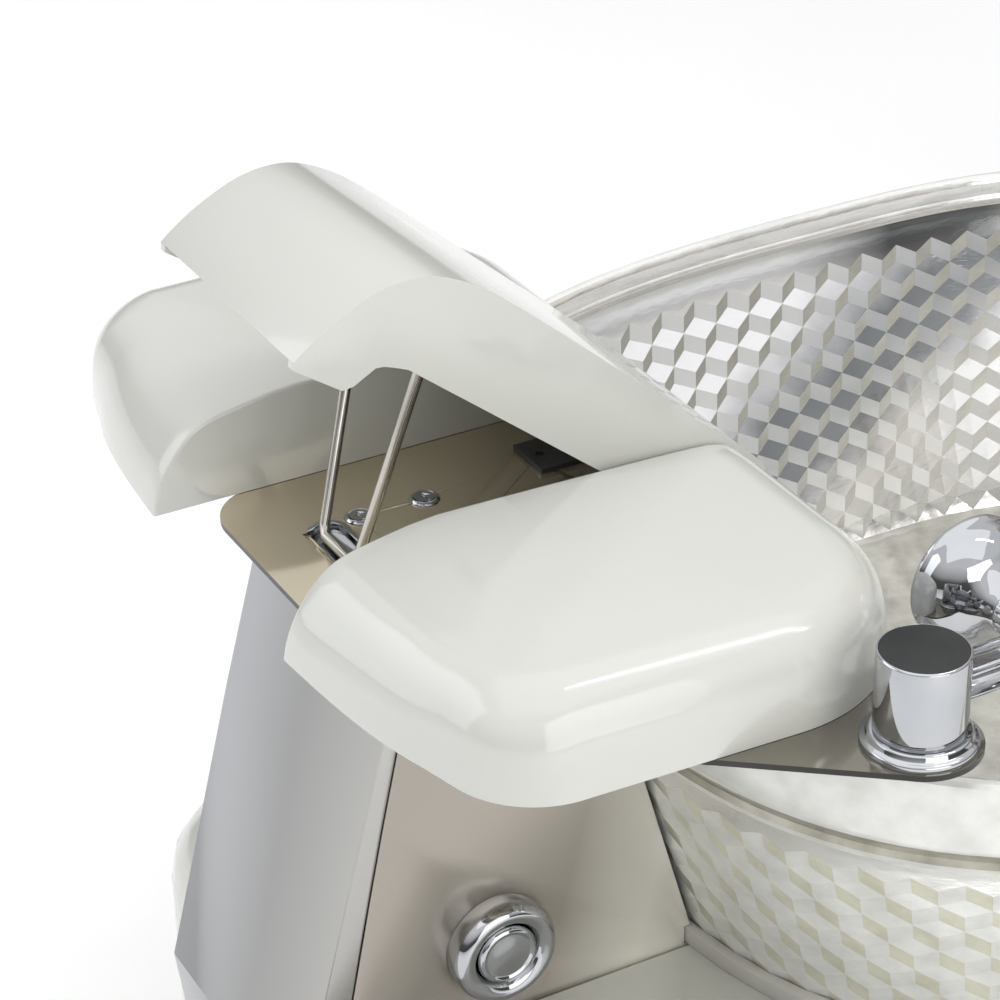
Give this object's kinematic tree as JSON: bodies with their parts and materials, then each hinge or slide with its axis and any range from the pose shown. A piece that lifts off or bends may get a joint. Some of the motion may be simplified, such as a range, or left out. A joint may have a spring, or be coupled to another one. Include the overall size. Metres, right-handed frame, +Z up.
{
  "type": "pedicure spa chair",
  "caption": "Pedicure spa chair with foot bath bowl, propped centre footrest between fixed wings, swivel tap with spray head, jet button, reclining massage seat and swing trays.",
  "frame": {"origin": "centre of the chair's footprint box, on the floor", "axes": "+X towards the customer's left, where the tap and the jet button are; +Y from the footrest to the backrest; +Z up"},
  "size_m": [0.74, 1.5192, 1.4115],
  "materials": {
    "white_moulding": "gloss",
    "polished_steel": "polished",
    "deck_steel": "mirror polished",
    "frame_paint": "satin",
    "chrome": "mirror polished",
    "stainless_wire": "satin",
    "tap_insert": "satin",
    "cast_bowl": "embossed honeycomb pattern",
    "black_rubber": "matte",
    "seal_rubber": "matte",
    "drain_plastic": "matte",
    "jet_plastic": "gloss",
    "dark_plastic": "matte",
    "brass": "satin",
    "rail_steel": "satin",
    "upholstery": "satin synthetic leather",
    "roller_plastic": "matte"
  },
  "bodies": {
    "base": {"base_shell": "white_moulding", "seat_housing": "white_moulding", "chassis_frame": "frame_paint", "levelling_feet": "black_rubber", "service_panel": "white_moulding", "pedestal_front_panel": "polished_steel", "pedestal_side_near": "polished_steel", "pedestal_side_far": "polished_steel", "pedestal_post": "frame_paint", "deck_plate": "deck_steel", "deck_screws": "chrome", "deck_cup_washers": "chrome", "prop_seat_cup": "chrome", "footrest_wing_near": "white_moulding", "footrest_wing_far": "white_moulding", "hinge_bracket": "frame_paint", "hinge_pin": "stainless_wire", "jet_bezel": "chrome", "jet_spring": "stainless_wire", "air_switch": "dark_plastic", "bowl": "cast_bowl", "bowl_seal": "seal_rubber", "drain_flange": "chrome", "drain_pipe": "drain_plastic", "jet_housing": "jet_plastic", "jet_motor": "dark_plastic", "tap_base_ring": "chrome", "water_inlets": "brass", "control_box": "dark_plastic", "seat_rails": "rail_steel", "seat_actuator": "dark_plastic"},
    "footrest": {"footrest_center": "white_moulding", "hinge_knuckles": "frame_paint", "prop_clips": "frame_paint"},
    "bail": {"prop_bail": "stainless_wire"},
    "jet_button": {"jet_button": "chrome"},
    "stopper": {"drain_stopper": "chrome"},
    "impeller": {"jet_impeller": "dark_plastic"},
    "spout": {"tap_body": "chrome", "tap_disc": "tap_insert", "spout_arm": "chrome", "spray_collar": "chrome"},
    "spray": {"spray_head": "chrome"},
    "seat": {"seat_carriage": "frame_paint", "seat_actuator_rod": "stainless_wire", "seat_cushion": "upholstery", "recline_motor": "dark_plastic"},
    "back": {"back_frame": "frame_paint", "back_shell": "white_moulding", "back_cushion": "upholstery"},
    "massage": {"massage_carriage": "dark_plastic"},
    "rollers": {"massage_rollers": "roller_plastic"},
    "headrest": {"headrest": "upholstery", "headrest_posts": "chrome"},
    "arm_left": {"arm_left": "white_moulding", "arm_pad_left": "upholstery"},
    "arm_right": {"arm_right": "white_moulding", "arm_pad_right": "upholstery"},
    "tray_left": {"tray_left": "white_moulding"},
    "tray_right": {"tray_right": "white_moulding"}
  },
  "joints": [
    {"name": "footrest_lift", "type": "hinge", "parent": "base", "child": "footrest", "pos_m": [0, -0.5156, 0.541], "axis": [1, 0, 0], "range_deg": [-10, 0]},
    {"name": "bail_swing", "type": "hinge", "parent": "footrest", "child": "bail", "pos_m": [0, -0.6496, 0.639], "axis": [1, 0, 0], "range_deg": [-60, 0]},
    {"name": "jet_press", "type": "slide", "parent": "base", "child": "jet_button", "axis": [-1, 0, 0], "range_m": [0, 0.002], "stiffness_N_per_m": 600},
    {"name": "stopper_lift", "type": "slide", "parent": "base", "child": "stopper", "axis": [0, 0, 1], "range_m": [0, 0.012]},
    {"name": "impeller_spin", "type": "hinge", "parent": "base", "child": "impeller", "pos_m": [0, 0.06978, 0.335], "axis": [0, 0.9632, -0.2689], "continuous": true},
    {"name": "spout_swing", "type": "hinge", "parent": "base", "child": "spout", "pos_m": [0.275, -0.5376, 0.54], "axis": [0, 0, 1], "range_deg": [-60, 0]},
    {"name": "spray_turn", "type": "hinge", "parent": "spout", "child": "spray", "pos_m": [0.24, -0.4656, 0.5465], "axis": [1, 0, 0], "continuous": true},
    {"name": "seat_slide", "type": "slide", "parent": "base", "child": "seat", "axis": [0, 1, 0], "range_m": [-0.06, 0.04]},
    {"name": "back_recline", "type": "hinge", "parent": "seat", "child": "back", "pos_m": [0, 0.5054, 0.53], "axis": [1, 0, 0], "range_deg": [-30, 6]},
    {"name": "massage_travel", "type": "slide", "parent": "back", "child": "massage", "axis": [0, 0.2419, 0.9703], "range_m": [-0.2, 0.19]},
    {"name": "roller_spin", "type": "hinge", "parent": "massage", "child": "rollers", "pos_m": [0, 0.61431, 0.90066], "axis": [1, 0, 0], "continuous": true},
    {"name": "headrest_lift", "type": "slide", "parent": "back", "child": "headrest", "axis": [0, 0.2419, 0.9703], "range_m": [0, 0.06]},
    {"name": "arm_left_raise", "type": "hinge", "parent": "seat", "child": "arm_left", "pos_m": [0.3, 0.5094, 0.728], "axis": [1, 0, 0], "range_deg": [-80, 0]},
    {"name": "arm_right_raise", "type": "hinge", "parent": "seat", "child": "arm_right", "pos_m": [-0.3, 0.5094, 0.728], "axis": [1, 0, 0], "range_deg": [-80, 0]},
    {"name": "tray_left_swing", "type": "hinge", "parent": "arm_left", "child": "tray_left", "pos_m": [0.317, 0.0344, 0.762], "axis": [0, 0, 1], "range_deg": [0, 100]},
    {"name": "tray_right_swing", "type": "hinge", "parent": "arm_right", "child": "tray_right", "pos_m": [-0.317, 0.0344, 0.762], "axis": [0, 0, 1], "range_deg": [-100, 0]}
  ]
}
